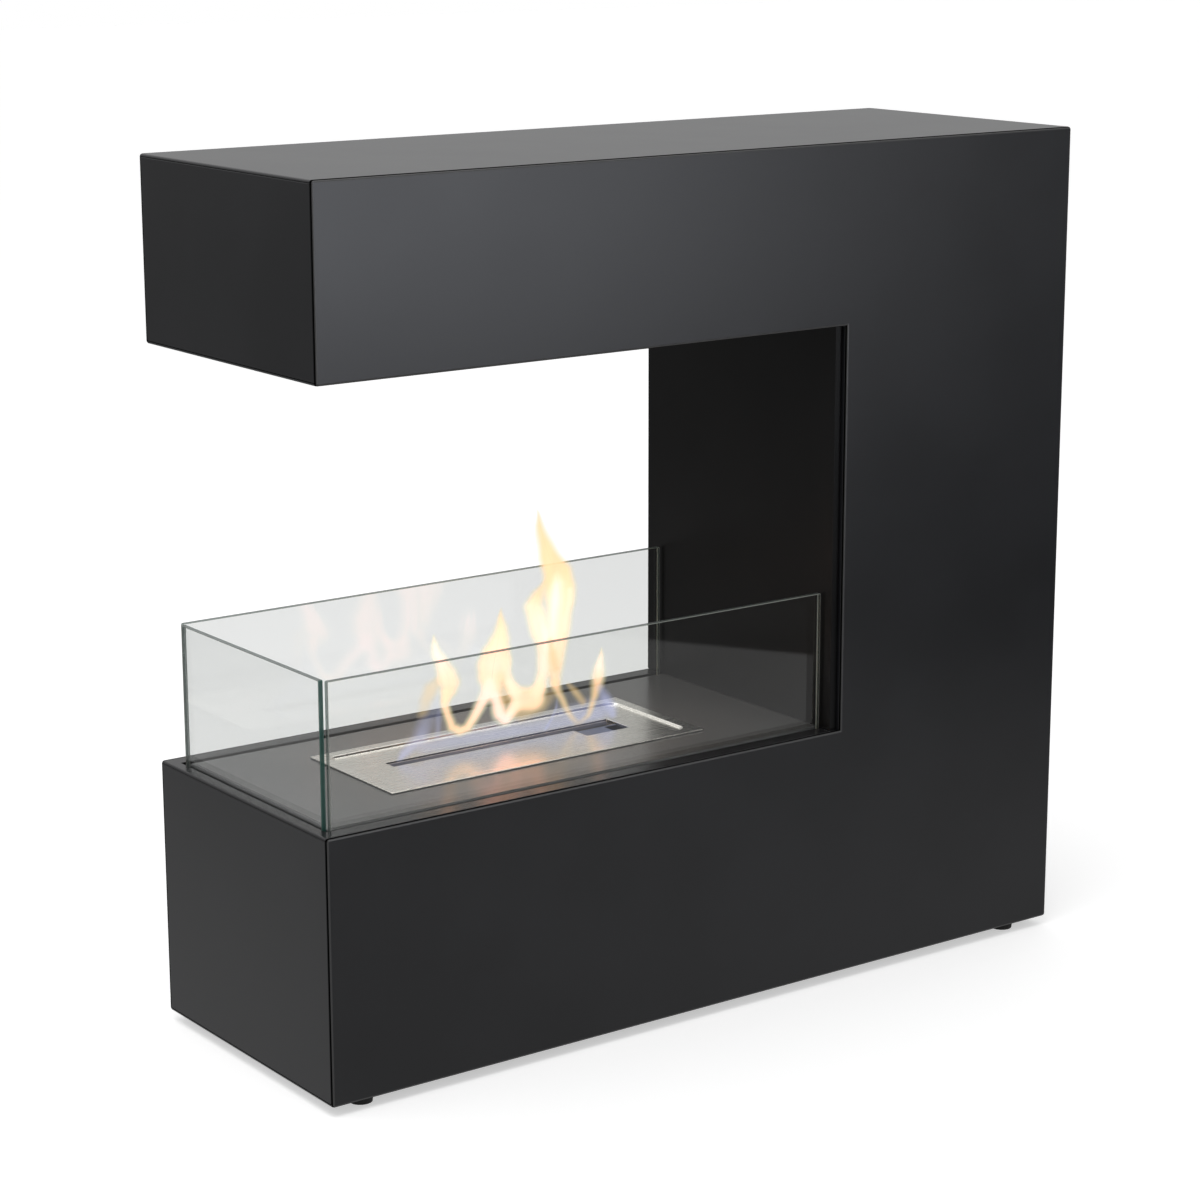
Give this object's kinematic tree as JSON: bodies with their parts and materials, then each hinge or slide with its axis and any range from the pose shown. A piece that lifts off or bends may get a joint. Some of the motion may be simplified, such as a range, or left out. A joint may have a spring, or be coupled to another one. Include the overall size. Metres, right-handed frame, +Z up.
{
  "type": "bioethanol fireplace",
  "caption": "Free-standing C-shaped bioethanol fireplace: a slotted burner sunk in its base burns behind a low glass guard, under a cantilevered arm carried by a side column.",
  "frame": {"origin": "on the floor under the middle of the body's length and depth", "axes": "+X along the length towards the column, -Y out of the front face, +Z up"},
  "size_m": [0.72, 0.25, 0.687],
  "materials": {
    "black_paint": "satin-matte black powder coat on sheet steel",
    "hearth_paint": "smoother satin black heat-proof paint on sheet steel",
    "zinc_steel": "zinc-plated steel, dull",
    "stainless_steel": "fine brushed stainless steel, a little warm",
    "clear_glass": "clear tempered glass with green edges",
    "silicone": "matte black silicone strip",
    "foot_rubber": "matte black rubber",
    "ceramic_fibre": null,
    "insulation": null
  },
  "bodies": {
    "body": {"front_panel": "black_paint", "back_panel": "black_paint", "top_panel": "black_paint", "bottom_panel": "black_paint", "column_side_panel": "black_paint", "column_partition": "black_paint", "column_heat_shield": "black_paint", "arm_end_panel": "black_paint", "arm_underside_panel": "black_paint", "base_end_panel": "black_paint", "base_top_frame": "black_paint", "hearth_plate": "hearth_paint", "hearth_ledge": "zinc_steel", "arm_rib": "zinc_steel", "arm_root_rib": "zinc_steel", "column_shelf": "zinc_steel", "base_rib_left": "zinc_steel", "base_rib_right": "zinc_steel", "base_rib_column": "zinc_steel", "glass_channel_front": "zinc_steel", "glass_channel_end": "zinc_steel", "glass_channel_back": "zinc_steel", "arm_insulation_board": "insulation", "glass_seat_front": "silicone", "glass_seat_end": "silicone", "glass_seat_back": "silicone", "foot_front_left": "foot_rubber", "foot_front_right": "foot_rubber", "foot_back_left": "foot_rubber", "foot_back_right": "foot_rubber", "foot_screw_front_left": "zinc_steel", "foot_screw_front_right": "zinc_steel", "foot_screw_back_left": "zinc_steel", "foot_screw_back_right": "zinc_steel", "foot_nut_front_left": "zinc_steel", "foot_nut_front_right": "zinc_steel", "foot_nut_back_left": "zinc_steel", "foot_nut_back_right": "zinc_steel", "bottom_panel_screw_1": "zinc_steel", "bottom_panel_screw_2": "zinc_steel", "bottom_panel_screw_3": "zinc_steel", "bottom_panel_screw_4": "zinc_steel", "bottom_panel_screw_5": "zinc_steel", "bottom_panel_screw_6": "zinc_steel"},
    "burner": {"burner_tank": "stainless_steel", "burner_top_plate": "stainless_steel", "shutter_guide_left": "stainless_steel", "shutter_guide_right": "stainless_steel", "ceramic_fibre_insert": "ceramic_fibre"},
    "shutter": {"burner_shutter": "stainless_steel"},
    "front_pane": {"glass_pane_front": "clear_glass"},
    "end_pane": {"glass_pane_end": "clear_glass"},
    "back_pane": {"glass_pane_back": "clear_glass"}
  },
  "joints": [
    {"name": "burner_lift", "type": "slide", "parent": "body", "child": "burner", "axis": [0, 0, 1], "range_m": [0, 0.08]},
    {"name": "shutter_slide", "type": "slide", "parent": "burner", "child": "shutter", "axis": [0, 1, 0], "range_m": [0, 0.0115]},
    {"name": "front_pane_lift", "type": "slide", "parent": "body", "child": "front_pane", "axis": [0, 0, 1], "range_m": [0, 0.05]},
    {"name": "end_pane_lift", "type": "slide", "parent": "body", "child": "end_pane", "axis": [0, 0, 1], "range_m": [0, 0.05]},
    {"name": "back_pane_lift", "type": "slide", "parent": "body", "child": "back_pane", "axis": [0, 0, 1], "range_m": [0, 0.05]}
  ]
}
